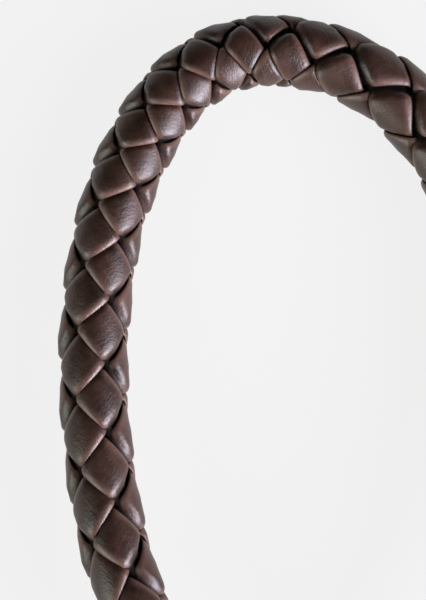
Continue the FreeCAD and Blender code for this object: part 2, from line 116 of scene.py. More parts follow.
class Line:
    """A centreline to carry a profile along: points, arc length, and at any station the tangent, an up
    direction square to it and a side direction square to both. Past its ends it runs on straight."""

    def __init__(self, points, spacing=0.0004):
        raw = np.concatenate([[0.0], np.cumsum(np.linalg.norm(np.diff(points, axis=0), axis=1))])
        self.length = raw[-1]
        self.stations = np.linspace(0.0, self.length, int(self.length / spacing) + 1)
        self.points = np.stack([np.interp(self.stations, raw, points[:, k]) for k in range(3)], axis=1)
        tangents = np.gradient(self.points, axis=0)
        # The tangents are averaged over about 8 mm, with a bell-shaped weight, so that rings turn evenly.
        window = np.hanning(21)
        window /= window.sum()
        padded = np.pad(tangents, ((10, 10), (0, 0)), mode="edge")
        tangents = np.stack([np.convolve(padded[:, k], window, mode="valid") for k in range(3)], axis=1)
        self.tangents = tangents / np.linalg.norm(tangents, axis=1, keepdims=True)

    def place(self, station, angle, radius):
        """The point at a station, turned by an angle from up towards the outer side, at a radius."""
        inside = np.clip(station, 0.0, self.length)
        centre = np.stack([np.interp(inside, self.stations, self.points[:, k]) for k in range(3)], axis=-1)
        along = np.stack([np.interp(inside, self.stations, self.tangents[:, k]) for k in range(3)], axis=-1)
        along /= np.linalg.norm(along, axis=-1, keepdims=True)
        centre = centre + along * (station - inside)[..., None]
        up = np.array([0.0, 0.0, 1.0]) - along * along[..., 2:3]
        up /= np.linalg.norm(up, axis=-1, keepdims=True)
        side = np.cross(up, along)
        turned = np.cos(angle)[..., None] * up + np.sin(angle)[..., None] * side
        return centre + radius[..., None] * turned


def new_piece(name, vertices, faces, uv=None, valley=None):
    """A smooth mesh object at the origin from a vertex array and a list of face corner arrays. Each
    entry of faces is an array of shape (count, corners); uv, if given, holds one pair for each vertex,
    and valley one number, which goes into the attribute of that name."""
    mesh = bpy.data.meshes.new(name)
    vertices = np.asarray(vertices, float).reshape(-1, 3)
    faces = [np.asarray(group, int) for group in faces if len(group)]
    corners = np.concatenate([group.ravel() for group in faces])
    sizes = np.concatenate([np.full(len(group), group.shape[1]) for group in faces])
    mesh.vertices.add(len(vertices))
    mesh.vertices.foreach_set("co", vertices.astype(np.float32).ravel())
    mesh.loops.add(len(corners))
    mesh.loops.foreach_set("vertex_index", corners.astype(np.int32))
    mesh.polygons.add(len(sizes))
    mesh.polygons.foreach_set("loop_start", np.concatenate([[0], np.cumsum(sizes)[:-1]]).astype(np.int32))
    mesh.polygons.foreach_set("use_smooth", np.ones(len(sizes), bool))
    if uv is not None:
        layer = mesh.uv_layers.new(name="along_across")
        layer.data.foreach_set("uv", np.asarray(uv, float).reshape(-1, 2)[corners].astype(np.float32).ravel())
    if valley is not None:
        attribute = mesh.attributes.new("valley", "FLOAT", "POINT")
        attribute.data.foreach_set("value", valley.astype(np.float32).ravel())
    mesh.update(calc_edges=True)
    mesh.validate()
    piece = bpy.data.objects.new(name, mesh)
    bpy.context.scene.collection.objects.link(piece)
    return piece


def ring_faces(rows, columns, first=0):
    """Quads between neighbouring rings of a grid with rows rings of columns points, facing outwards
    where the columns run counter-clockwise about the direction of the rows."""
    row = np.arange(rows - 1)[:, None]
    column = np.arange(columns)[None, :]
    following = (column + 1) % columns
    a = row * columns + column
    b = row * columns + following
    c = (row + 1) * columns + following
    d = (row + 1) * columns + column
    return first + np.stack([a, b, c, d], axis=-1).reshape(-1, 4)


def tube_faces(rows, columns, first=0, flip=False):
    """The faces of a closed tube: its rings, and one many-sided face over either end."""
    rings = ring_faces(rows, columns, first)
    start = first + np.arange(columns)[None, ::-1]
    end = first + (rows - 1) * columns + np.arange(columns)[None, :]
    return [group[:, ::-1] if flip else group for group in (rings, start, end)]


def lace_section(points, squareness=7.0):
    """A flat lace's section as a closed ring: across from -1 to 1 and height from -1 to 1, a rounded
    oblong that is the superellipse |across|^squareness + height^2 = 1, counter-clockwise."""
    turn = np.linspace(0.0, 2.0 * math.pi, points, endpoint=False)
    across = np.sign(np.cos(turn)) * np.abs(np.cos(turn)) ** (2.6 / squareness)
    height = np.sign(np.sin(turn)) * np.sqrt(np.clip(1.0 - np.abs(across) ** squareness, 0.0, 1.0))
    return across, height


# Half the width of a lace on its own UV, whatever it is plaited to: the leather's edges are set by it.
LACE_UV_HALF_WIDTH = 0.0032


def plait(name, place, station_of, twist, way, each_way, first_phase, last_phase, radius, thickness,
          lift, gap, crown=0.0, tilt=0.0, lean=0.0, lead=0.0, tongue=0.0, steps=12, section_points=16,
          sharpness=3.5, wander=0.0, seed=1):
    """The laces that run one way round a line in a round plait, over one and under one.

    Way is 1 for laces that turn forwards and -1 for laces that turn back. A lace of the first kind keeps
    the angle less the phase and one of the second the angle plus the phase; the phase grows with the
    station by a half turn over the number of laces each way for every crossing. A lace's height is
    radius plus lift times a flattened cosine of the phase times the number of laces, so it rises and
    dives along the very edges of the laces it crosses.

    The plait is worked towards the line's start, so each lace's lower end lies over the next like a
    scale: lean lifts that end and lowers the other, lead starts its dive early by a share of a crossing,
    and tongue starts it earlier still towards the lace's edges. Gap is the bare share of a lace's lane,
    all on its upper edge; tilt raises its lower edge, crown rounds its face, and wander lets it stray.
    The attribute valley goes from 0 on top of a crossing to 1 at the bottom of a dive.
    """
    across, height = lace_section(section_points)
    half = math.pi / each_way
    crossings = np.arange(first_phase / half, last_phase / half, 1.0 / steps)
    # The rows are drawn closer together where the lace rises and dives.
    phases = (half * (crossings + 0.08 * np.sin(2.0 * math.pi * crossings)))[:, None]
    rows = len(phases)
    draws = np.random.default_rng(seed)
    vertices, faces, uvs, valleys = [], [], [], []
    for lace in range(each_way):
        # Each lace strays in its lane along two slow waves that don't repeat together.
        strays = draws.uniform(0.0, 2.0 * math.pi, 3)
        stray = wander * (np.sin(1.7 * phases + strays[0]) + np.sin(0.61 * phases + strays[1]))
        turn = each_way * phases + (math.pi if way > 0 else 0.0)
        # A lace is pulled 6% narrower at the bottom of its dive than on top.
        drawn_in = 1.0 - 0.03 * (1.0 - np.cos(turn))
        lane = across[None, :] * (1.0 - gap / 2.0) * drawn_in + way * gap / 2.0 + stray
        own = 2.0 * half * lace + lane * half
        other = 2.0 * half * lace + way * 2.0 * phases + 0.0 * lane
        station = station_of(way * (other - own) / 2.0)
        angle = (own + other) / 2.0 + twist(station)
        # Lower is 1 at a crossing's lower end and 0 at its upper end. The wave is mostly flat-topped,
        # with a little of the plain cosine, so that a face is still rounded along the lace.
        lower = (1.0 - np.sin(turn)) / 2.0
        wave = np.cos(turn - math.pi * (lead + tongue * across[None, :] ** 2) * lower)
        wave = 0.82 * np.tanh(sharpness * wave) / math.tanh(sharpness) + 0.18 * wave
        swell = 1.0 + 0.10 * np.sin(0.9 * phases + strays[2]) - lean * np.sin(turn)
        reach = (radius(station) + lift * wave * swell - crown * across[None, :] ** 2
                 + tilt * way * across[None, :] + thickness / 2.0 * height[None, :])
        points = place(station, angle, reach)
        valleys.append(np.clip((0.8 - wave) / 1.8, 0.0, 1.0).ravel())
        vertices.append(points.reshape(-1, 3))
        faces += tube_faces(rows, section_points, lace * rows * section_points, way < 0)
        # Every lace is cut from a stretch of leather of its own, 130 mm on from the last.
        middle = points[:, section_points // 4]
        along = np.concatenate([[0.0], np.cumsum(np.linalg.norm(np.diff(middle, axis=0), axis=1))])
        uvs.append(np.stack([
            np.broadcast_to(along[:, None] + 0.13 * (2 * lace + (way > 0)), (rows, section_points)),
            np.broadcast_to(across[None, :] * LACE_UV_HALF_WIDTH, (rows, section_points)),
        ], axis=-1).reshape(-1, 2))
    return new_piece(name, np.concatenate(vertices), faces, np.concatenate(uvs), np.concatenate(valleys))


loop_line = Line(route_points("loop_route", LOOP_ROUTE))

# The plait is closed up round the bend: a crossing comes every 5 mm along the legs and every 3 mm where
# the bend is tightest, a little past its top.
LEG_CROSSING = 0.005025
BEND_CROSSING = 0.002933
# The near station is a point of the first leg that the crossings are set by: the next of them comes 0.42
# of a crossing past it.
NEAR_TO_CROSSING = 0.42
NEAR_STATION = float(loop_line.stations[np.argmin(np.linalg.norm(
    loop_line.points[: len(loop_line.points) // 2] - np.array([-0.0223, 0.3250, 0.0095]), axis=1))])
TIGHT_STATION = NEAR_STATION + 0.0846
TIGHT_BEFORE = 0.0366
TIGHT_AFTER = 0.0113

crossing_stations = np.linspace(-0.03, loop_line.length + 0.03, 8000)
tight_reach = np.where(crossing_stations < TIGHT_STATION, TIGHT_BEFORE, TIGHT_AFTER)
tightness = np.exp(-((crossing_stations - TIGHT_STATION) / tight_reach) ** 2)
crossing_length = LEG_CROSSING - (LEG_CROSSING - BEND_CROSSING) * tightness
crossings = np.concatenate([[0.0], np.cumsum(np.diff(crossing_stations) / crossing_length[1:])])
crossings -= np.interp(NEAR_STATION, crossing_stations, crossings) + NEAR_TO_CROSSING
loop_phases = crossings * math.pi / 3.0


def loop_station_of(phase):
    """The station along the loop at which the plait has reached a phase."""
    return np.interp(phase, loop_phases, crossing_stations)


def smooth_step(value, start, end):
    """0 before start and 1 after end, with the cubic 3t^2 - 2t^3 between them."""
    t = np.clip((value - start) / (end - start), 0.0, 1.0)
    return t * t * (3.0 - 2.0 * t)


def loop_twist(station):
    """The plait's own turn about its line: it eases off along the legs, and rolls by about 40 degrees
    just past the top of the bend."""
    past = station - NEAR_STATION
    eased = 44.0 - 230.0 * past
    rolled = 42.0 * smooth_step(past, 0.077, 0.096)
    return np.radians(eased - rolled - 400.0 * np.clip(past - 0.086, 0.0, 0.026))


def loop_radius(station):
    """The laces' middle height: the plait is close to 10 mm thick, and grows by 0.36 mm from one leg to
    the other, along a cubic step."""
    return 0.00385 + 0.00018 * smooth_step(station - NEAR_STATION, 0.02, 0.13)


first_phase = float(np.interp(0.003, crossing_stations, loop_phases))
last_phase = float(np.interp(loop_line.length - 0.003, crossing_stations, loop_phases))
loop_laces = [
    plait(name, loop_line.place, loop_station_of, loop_twist, way, 3, first_phase, last_phase, loop_radius,
          thickness=0.00110, lift=0.00052, gap=0.07, crown=0.00018, tilt=0.00015, lean=0.25, lead=0.07,
          tongue=0.10, steps=15, section_points=20, sharpness=5.0, wander=0.012, seed=11 + way)
    for name, way in (("loop_laces_turning_left", 1), ("loop_laces_turning_right", -1))
]

# The core is three strands laid round each other: the radius rises to a ridge three times round, and the
# strands turn once every 14 mm.
CORE_LAY = 0.014
CORE_RADIUS = 0.0022
CORE_RIDGE = 0.0005
core_rows, core_columns = 520, 30
core_station = np.linspace(0.002, loop_line.length - 0.002, core_rows)[:, None]
core_angle = np.linspace(0.0, 2.0 * math.pi, core_columns, endpoint=False)[None, :]
core_laid = core_angle + 2.0 * math.pi * core_station / CORE_LAY
core_points = loop_line.place(core_station + 0.0 * core_angle, core_angle + 0.0 * core_station,
                              CORE_RADIUS + CORE_RIDGE * np.abs(np.cos(1.5 * core_laid)))
core_uv = np.stack([core_station + 0.0 * core_angle, 0.0025 * core_laid], axis=-1)
core_cord = new_piece("loop_core_cord", core_points, tube_faces(core_rows, core_columns, flip=True), core_uv)


def linear(code):
    """An sRGB hex colour as linear red, green, blue and alpha."""
    channels = [int(code[k:k + 2], 16) / 255.0 for k in (0, 2, 4)]
    return tuple(c / 12.92 if c <= 0.04045 else ((c + 0.055) / 1.055) ** 2.4 for c in channels) + (1.0,)


def add_node(tree, kind, settings=None, **links):
    """One node of a kind, with its settings, and its inputs set to values or linked to sockets. An input
    is named by its label with _ for a space, or as i and its number. The setting stops gives a colour
    ramp its two ends, as pairs of position and hex colour."""
    node = tree.nodes.new(kind)
    for key, value in (settings or {}).items():
        if key == "stops":
            for element, (position, code) in zip(node.color_ramp.elements, value):
                element.position = position
                element.color = linear(code)
        else:
            setattr(node, key, value)
    for key, value in links.items():
        numbered = key[0] == "i" and key[1:].isdigit()
        socket = node.inputs[int(key[1:])] if numbered else node.inputs[key.replace("_", " ")]
        if isinstance(value, bpy.types.NodeSocket):
            tree.links.new(value, socket)
        else:
            socket.default_value = value
    return node


def new_material(name):
    """An empty material and its node tree."""
    material = bpy.data.materials.new(name)
    material.use_nodes = True
    material.node_tree.nodes.clear()
    return material, material.node_tree


def glazed_calf(name, dark, light, wear_and_highlight, edge):
    """Glazed calf lace: drum-dyed chocolate through, cut, its edges painted near black, plaited damp and
    glazed. The eye gets a soft gloss over 0.35 mm grain and pull creases across the lace. A lighter line
    inside its edges is partly rubbed wear and partly a painted highlight of the rounded shoulders, and the
    edges' near black is also laid into the dives of the crossings as painted shade."""
    material, tree = new_material(name)
    uv = add_node(tree, "ShaderNodeUVMap", {"uv_map": "along_across"}).outputs[0]
    grain_place = add_node(tree, "ShaderNodeMapping", Vector=uv, Scale=(2900.0, 2600.0, 1.0)).outputs[0]
    grain = add_node(tree, "ShaderNodeTexVoronoi", {"feature": "SMOOTH_F1"}, Vector=grain_place,
                     Scale=1.0, Smoothness=0.6).outputs[0]
    crease_place = add_node(tree, "ShaderNodeMapping", Vector=uv, Scale=(1300.0, 210.0, 1.0)).outputs[0]
    crease = add_node(tree, "ShaderNodeTexNoise", Vector=crease_place, Scale=1.0, Detail=3.0,
                      Distortion=0.4).outputs[0]
    tone_place = add_node(tree, "ShaderNodeMapping", Vector=uv, Scale=(210.0, 260.0, 1.0)).outputs[0]
    tone = add_node(tree, "ShaderNodeTexNoise", Vector=tone_place, Scale=1.0, Detail=5.0,
                    Roughness=0.62).outputs[0]
    dye = add_node(tree, "ShaderNodeValToRGB", {"stops": [(0.32, dark), (0.72, light)]}, i0=tone).outputs[0]
    across = add_node(tree, "ShaderNodeSeparateXYZ", Vector=uv).outputs[1]
    from_middle = add_node(tree, "ShaderNodeMath", {"operation": "ABSOLUTE"}, i0=across).outputs[0]
    # Lighter line inside the lace's edges: partly rubbed wear, partly a painted highlight of the rounded
    # shoulders.
    wear_and_highlight_line = add_node(tree, "ShaderNodeMapRange", {"interpolation_type": "SMOOTHSTEP"}, Value=from_middle,
                   From_Min=0.0017, From_Max=0.0031, To_Max=0.42).outputs[0]
    edge_toned = add_node(tree, "ShaderNodeMix", {"data_type": "RGBA"}, i0=wear_and_highlight_line, i6=dye,
                      i7=linear(wear_and_highlight)).outputs[2]
    cut = add_node(tree, "ShaderNodeMapRange", {"interpolation_type": "SMOOTHSTEP"}, Value=from_middle,
                   From_Min=0.00305, From_Max=0.00319).outputs[0]
    # Painted shade: near black is painted where the lace dives under its neighbours, read from the valley
    # attribute, and its gloss is lowered there.
    depth = add_node(tree, "ShaderNodeAttribute", {"attribute_name": "valley"}).outputs["Fac"]
    painted_dive_shade = add_node(tree, "ShaderNodeMapRange", {"interpolation_type": "SMOOTHSTEP"}, Value=depth,
                     From_Min=0.45, From_Max=0.92).outputs[0]
    # This mask joins the real paint on the cut edges with the painted shade of the dives.
    painted = add_node(tree, "ShaderNodeMath", {"operation": "MAXIMUM"}, i0=cut, i1=painted_dive_shade).outputs[0]
    colour = add_node(tree, "ShaderNodeMix", {"data_type": "RGBA"}, i0=painted, i6=edge_toned,
                      i7=linear(edge)).outputs[2]
    grain_bump = add_node(tree, "ShaderNodeBump", Height=grain, Strength=0.5, Distance=0.00005).outputs[0]
    crease_bump = add_node(tree, "ShaderNodeBump", Height=crease, Normal=grain_bump, Strength=0.5,
                           Distance=0.00008).outputs[0]
    rough = add_node(tree, "ShaderNodeMapRange", Value=tone, From_Min=0.3, From_Max=0.7, To_Min=0.37,
                     To_Max=0.50).outputs[0]
    rougher = add_node(tree, "ShaderNodeMath", {"operation": "MULTIPLY_ADD", "use_clamp": True}, i0=painted,
                       i1=0.35, i2=rough).outputs[0]
    glint = add_node(tree, "ShaderNodeMath", {"operation": "MULTIPLY_ADD"}, i0=painted, i1=-0.42,
                     i2=0.5).outputs[0]
    shader = add_node(tree, "ShaderNodeBsdfPrincipled", Base_Color=colour, Roughness=rougher,
                      Normal=crease_bump, IOR=1.5, Specular_IOR_Level=glint).outputs[0]
    add_node(tree, "ShaderNodeOutputMaterial", Surface=shader)
    return material


def twisted_cotton():
    """Cotton core cord, three strands laid together and dyed with the laces: matt, with 0.4 mm yarns."""
    material, tree = new_material("laid_cotton_cord")
    uv = add_node(tree, "ShaderNodeUVMap", {"uv_map": "along_across"}).outputs[0]
    place = add_node(tree, "ShaderNodeMapping", Vector=uv, Scale=(1200.0, 2500.0, 1.0)).outputs[0]
    yarn = add_node(tree, "ShaderNodeTexNoise", Vector=place, Scale=1.0, Detail=3.0).outputs[0]
    colour = add_node(tree, "ShaderNodeValToRGB", {"stops": [(0.3, "120b09"), (0.7, "2a1b16")]},
                      i0=yarn).outputs[0]
    bump = add_node(tree, "ShaderNodeBump", Height=yarn, Strength=0.6, Distance=0.0002).outputs[0]
    shader = add_node(tree, "ShaderNodeBsdfPrincipled", Base_Color=colour, Roughness=0.9,
                      Normal=bump).outputs[0]
    add_node(tree, "ShaderNodeOutputMaterial", Surface=shader)
    return material


# The third colour is the lighter edge line, partly wear and partly painted highlight; the last is the painted
# cut edge, also used as painted shade in the dives.
loop_leather = glazed_calf("glazed_plaited_calf", "1e120d", "432a20", "785c50", "070403")
for piece in loop_laces:
    piece.data.materials.append(loop_leather)
core_cord.data.materials.append(twisted_cotton())
for piece in (*loop_laces, core_cord):
    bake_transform(piece)
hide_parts("wrist_loop", "loop_ends")
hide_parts("loop_core")


# ---- Collar ----------------------------------------------------------------------------------------
# A strip of vegetable-tanned leather drawn round both legs of the loop just outside the cap. It is
# 14 mm wide, creased along both edges, and closed on top by four stitches across a butt seam.
AXIS_HEIGHT = 0.014
COLLAR_START, COLLAR_END = 0.2605, 0.2745
COLLAR_HALF_SPACING = 0.0053
COLLAR_INSIDE = 0.00525
COLLAR_THICKNESS = 0.0015
COLLAR_CREASE = 0.0013
COLLAR_CREASE_DEPTH = 0.00022
COLLAR_LENGTH = 0.0575


def band_section(width, thickness, crease, crease_depth, points_across=34):
    """A strap's section as a closed ring of (across, height) pairs, counter-clockwise: flat below, and
    above rounded at both edges with the corner circle of a third of the thickness, less two creased
    lines, each a bell-shaped dip that is 0.37 mm wide at half its depth."""
    corner = thickness / 3.0
    flat = np.linspace(-1.0, 1.0, points_across)
    top_across = (0.6 * flat + 0.4 * np.sin(flat * math.pi / 2.0)) * (width / 2.0 - corner)
    dips = sum(np.exp(-((top_across - side * (width / 2.0 - crease)) / 0.00022) ** 2) for side in (-1.0, 1.0))
    top = np.stack([top_across, thickness - crease_depth * dips], axis=1)
    turn = np.linspace(0.0, math.pi / 2.0, 5)[1:]
    right_top = np.stack([width / 2.0 - corner + corner * np.sin(turn),
                          thickness - corner + corner * np.cos(turn)], axis=1)
    right_bottom = np.stack([width / 2.0 - corner + corner * np.cos(turn),
                             corner - corner * np.sin(turn)], axis=1)
    bottom = np.stack([np.linspace(width / 2.0 - corner, corner - width / 2.0, 8)[1:-1], np.zeros(6)], axis=1)
    left = np.concatenate([right_top, right_bottom])[::-1] * np.array([-1.0, 1.0])
    return np.concatenate([top, right_top, right_bottom, bottom, left])[::-1]


def obround(turn, half_spacing, radius):
    """A slot's middle line across, and the direction out of it, for a share of the way round that starts
    at the middle of its top and runs towards +X: two half circles joined by two straight runs."""
    straight = 2.0 * half_spacing
    arc = math.pi * radius
    run = np.mod(turn, 1.0) * (2.0 * straight + 2.0 * arc)
    right = np.clip((run - half_spacing) / radius, 0.0, math.pi)
    left = np.clip((run - half_spacing - arc - straight) / radius, 0.0, math.pi)
    angle = right + left
    bottom = np.clip(run - half_spacing - arc, 0.0, straight)
    last = np.clip(run - half_spacing - 2.0 * arc - straight, 0.0, half_spacing)
    middle = np.clip(run, 0.0, half_spacing) - bottom + last
    return middle, np.stack([np.sin(angle), np.cos(angle)], axis=-1)


collar_ring = band_section(COLLAR_END - COLLAR_START, COLLAR_THICKNESS, COLLAR_CREASE,
                           COLLAR_CREASE_DEPTH)
collar_columns = len(collar_ring)
collar_turns = 180
collar_turn = np.linspace(0.0, 1.0, collar_turns, endpoint=False)
collar_middle, collar_out = obround(collar_turn, COLLAR_HALF_SPACING, COLLAR_INSIDE)
# Either side of the butt seam the leather is pulled in by its stitches.
seam_distance = np.minimum(collar_turn, 1.0 - collar_turn) * COLLAR_LENGTH
pulled = 0.0004 * np.exp(-(seam_distance / 0.0003) ** 2) + 0.00014 * np.exp(-(seam_distance / 0.0014) ** 2)
collar_reach = COLLAR_INSIDE + collar_ring[None, :, 1] - pulled[:, None] * (collar_ring[None, :, 1] > 0.0008)
collar_points = np.stack([
    collar_middle[:, None] + collar_out[:, None, 0] * collar_reach,
    (COLLAR_START + COLLAR_END) / 2.0 + collar_ring[None, :, 0] + 0.0 * collar_reach,
    AXIS_HEIGHT + collar_out[:, None, 1] * collar_reach,
], axis=-1)


def closed_band_faces(turns, columns):
    """Quads of a ring of sections that closes on itself: a torus of turns by columns points."""
    turn = np.arange(turns)[:, None]
    column = np.arange(columns)[None, :]
    a = turn * columns + column
    b = turn * columns + (column + 1) % columns
    c = ((turn + 1) % turns) * columns + (column + 1) % columns
    d = ((turn + 1) % turns) * columns + column
    return np.stack([a, b, c, d], axis=-1).reshape(-1, 4)


collar_uv = np.stack(np.broadcast_arrays(collar_turn[:, None] * COLLAR_LENGTH,
                                         collar_ring[None, :, 0]), axis=-1)
collar_faces = [closed_band_faces(collar_turns, collar_columns)]
collar = new_piece("collar_strap", collar_points, collar_faces, collar_uv)


def sewn_stitches(name, starts, ends, ups, thread, rise):
    """Stitches of round thread. Each is a tube whose centre runs from its start to its end. It stands up
    by rise times the sine of its share of a half turn to the power 0.6, less 0.45 of rise, so that its
    ends are down in the leather, and it thins to 0.55 of the thread at both ends."""
    rings, sides = 7, 6
    share = np.linspace(0.0, 1.0, rings)[None, :, None, None]
    turn = np.linspace(0.0, 2.0 * math.pi, sides, endpoint=False)[None, None, :, None]
    starts, ends, ups = (np.asarray(a, float)[:, None, None, :] for a in (starts, ends, ups))
    along = ends - starts
    along /= np.linalg.norm(along, axis=-1, keepdims=True)
    side = np.cross(along, ups)
    centre = starts + (ends - starts) * share + ups * rise * (np.sin(math.pi * share) ** 0.6 - 0.45)
    thick = thread / 2.0 * (0.55 + 0.45 * np.sin(math.pi * share) ** 0.4)
    points = centre + thick * (np.cos(turn) * side + np.sin(turn) * ups)
    count = points.shape[0]
    groups = [[], [], []]
    for stitch in range(count):
        for group, part in zip(groups, tube_faces(rings, sides, stitch * rings * sides, True)):
            group.append(part)
    uv = np.stack(np.broadcast_arrays(share[..., 0] * 0.0028 + 0.004 * np.arange(count)[:, None, None],
                                      turn[..., 0] * thread / 2.0), axis=-1)
    return new_piece(name, points, [np.concatenate(group) for group in groups], uv)


def waxed_linen(name, dark, light):
    """Waxed linen thread, three cords laid together: a dull sheen over slanting strands 0.6 mm apart."""
    material, tree = new_material(name)
    uv = add_node(tree, "ShaderNodeUVMap", {"uv_map": "along_across"}).outputs[0]
    slant = add_node(tree, "ShaderNodeMapping", Vector=uv, Rotation=(0.0, 0.0, 0.7)).outputs[0]
    strand = add_node(tree, "ShaderNodeTexWave", {"wave_type": "BANDS", "bands_direction": "X"}, Vector=slant,
                      Scale=520.0, Distortion=1.2, Detail=1.0).outputs[1]
    colour = add_node(tree, "ShaderNodeValToRGB", {"stops": [(0.1, dark), (0.8, light)]},
                      i0=strand).outputs[0]
    bump = add_node(tree, "ShaderNodeBump", Height=strand, Strength=0.7, Distance=0.00008).outputs[0]
    shader = add_node(tree, "ShaderNodeBsdfPrincipled", Base_Color=colour, Roughness=0.58,
                      Normal=bump).outputs[0]
    add_node(tree, "ShaderNodeOutputMaterial", Surface=shader)
    return material


def bridle_leather(name, dark, light, edge_from, edge_to, edge):
    """Vegetable-tanned bridle leather, stuffed with wax and struck smooth: a low waxy gloss, fine hair
    pores 0.3 mm apart, slow changes of tone, and edges dyed darker and rubbed."""
    material, tree = new_material(name)
    uv = add_node(tree, "ShaderNodeUVMap", {"uv_map": "along_across"}).outputs[0]
    pore_place = add_node(tree, "ShaderNodeMapping", Vector=uv, Scale=(3100.0, 3100.0, 1.0)).outputs[0]
    pores = add_node(tree, "ShaderNodeTexVoronoi", {"feature": "SMOOTH_F1"}, Vector=pore_place,
                     Scale=1.0, Smoothness=0.5).outputs[0]
    tone_place = add_node(tree, "ShaderNodeMapping", Vector=uv, Scale=(90.0, 120.0, 1.0)).outputs[0]
    tone = add_node(tree, "ShaderNodeTexNoise", Vector=tone_place, Scale=1.0, Detail=6.0,
                    Roughness=0.6).outputs[0]
    wrinkle_place = add_node(tree, "ShaderNodeMapping", Vector=uv, Scale=(420.0, 160.0, 1.0)).outputs[0]
    wrinkle = add_node(tree, "ShaderNodeTexNoise", Vector=wrinkle_place, Scale=1.0, Detail=4.0,
                       Distortion=0.8).outputs[0]
    dye = add_node(tree, "ShaderNodeValToRGB", {"stops": [(0.3, dark), (0.75, light)]}, i0=tone).outputs[0]
    across = add_node(tree, "ShaderNodeSeparateXYZ", Vector=uv).outputs[1]
    from_middle = add_node(tree, "ShaderNodeMath", {"operation": "ABSOLUTE"}, i0=across).outputs[0]
    edge_toned = add_node(tree, "ShaderNodeMapRange", {"interpolation_type": "SMOOTHSTEP"}, Value=from_middle,
                      From_Min=edge_from, From_Max=edge_to).outputs[0]
    colour = add_node(tree, "ShaderNodeMix", {"data_type": "RGBA"}, i0=edge_toned, i6=dye,
                      i7=linear(edge)).outputs[2]
    pore_bump = add_node(tree, "ShaderNodeBump", Height=pores, Strength=0.45, Distance=0.00005).outputs[0]
    bump = add_node(tree, "ShaderNodeBump", Height=wrinkle, Normal=pore_bump, Strength=0.35,
                    Distance=0.0003).outputs[0]
    rough = add_node(tree, "ShaderNodeMapRange", Value=tone, From_Min=0.3, From_Max=0.7, To_Min=0.38,
                     To_Max=0.54).outputs[0]
    shader = add_node(tree, "ShaderNodeBsdfPrincipled", Base_Color=colour, Roughness=rough, Normal=bump,
                      IOR=1.5).outputs[0]
    add_node(tree, "ShaderNodeOutputMaterial", Surface=shader)
    return material


collar_leather = bridle_leather("edge_painted_bridle_leather", "2f1a14", "4a2f26", 0.0066, 0.0069, "0e0908")
collar.data.materials.append(collar_leather)
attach(collar, "crop")
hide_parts("loop_collar")

stitch_y = np.array([0.2627, 0.2659, 0.2691, 0.2723])
stitch_top = AXIS_HEIGHT + COLLAR_INSIDE + COLLAR_THICKNESS
linen = waxed_linen("waxed_linen_thread", "1c110d", "4a3226")
collar_stitches = sewn_stitches(
    "collar_stitches",
    [(-0.0014, y - 0.0003, stitch_top) for y in stitch_y],
    [(0.0014, y + 0.0003, stitch_top) for y in stitch_y],
    [(0.0, 0.0, 1.0)] * len(stitch_y), thread=0.00062, rise=0.00032)
collar_stitches.data.materials.append(linen)
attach(collar_stitches, "crop")
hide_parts("collar_stitching")


# ---- Butt cap --------------------------------------------------------------------------------------
# A spun brass cap, satin nickel plated, pressed over the head of the wooden former and held by three
# brass brads. A drawn steel pin goes through it, the former and both legs of the loop.
def turned_metal(name, dark, light, ring_scale, ring_depth, roughness):
    """Metal turned about the crop's axis: fine rings left by the tool, 0.25 to 0.4 mm apart, wiped by
    slow patches of handling that dull the gloss. Metal shows only reflections, tinted by its colour."""
    material, tree = new_material(name)
    place = add_node(tree, "ShaderNodeTexCoord").outputs["Object"]
    rings = add_node(tree, "ShaderNodeMapping", Vector=place, Scale=(12.0, ring_scale, 12.0)).outputs[0]
    ring = add_node(tree, "ShaderNodeTexNoise", Vector=rings, Scale=1.0, Detail=2.0).outputs[0]
    patch = add_node(tree, "ShaderNodeTexNoise", Vector=place, Scale=48.0, Detail=2.0).outputs[0]
    colour = add_node(tree, "ShaderNodeValToRGB", {"stops": [(0.3, dark), (0.7, light)]},
                      i0=patch).outputs[0]
    bump = add_node(tree, "ShaderNodeBump", Height=ring, Strength=0.5, Distance=ring_depth).outputs[0]
    rough = add_node(tree, "ShaderNodeMapRange", Value=patch, From_Min=0.3, From_Max=0.7,
                     To_Min=roughness - 0.02, To_Max=roughness + 0.03).outputs[0]
    shader = add_node(tree, "ShaderNodeBsdfPrincipled", Base_Color=colour, Metallic=1.0, Roughness=rough,
                      Normal=bump).outputs[0]
    add_node(tree, "ShaderNodeOutputMaterial", Surface=shader)
    return material


def finish_node(node, material):
    """Puts a material on every slot of a carried-over node's own object."""
    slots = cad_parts[node].data.materials
    slots.clear()
    slots.append(material)


satin_nickel = turned_metal("satin_nickel_plate", "b3afa7", "beb9b1", 2600.0, 0.00004, 0.32)
polished_brass = turned_metal("polished_brass", "b8934c", "d0aa60", 3000.0, 0.00001, 0.2)
bright_steel = turned_metal("bright_drawn_steel", "9c9c9e", "b4b4b6", 4000.0, 0.00001, 0.26)
finish_node("butt_cap", satin_nickel)
finish_node("cap_brads", polished_brass)
finish_node("loop_pin", bright_steel)


# ---- Plaited grip ----------------------------------------------------------------------------------
# Sixteen calf laces, eight each way, plaited tightly over a turned beech former that swells at the
# palm. The former is stained dark so that it doesn't show between them.
GRIP_START, GRIP_END = 0.3563, 0.4920
GRIP_SWELL = 0.4280
GRIP_CROSSING = 0.0043
GRIP_THICKNESS = 0.0010
GRIP_LIFT = 0.00042
STATION_ORIGIN = 0.26


def axis_place(station, angle, radius):
    """The point round the crop's straight axis at a station from the keeper's end, at an angle from up."""
    return np.stack(np.broadcast_arrays(-np.sin(angle) * radius, station - STATION_ORIGIN,
                                        AXIS_HEIGHT + np.cos(angle) * radius), axis=-1)


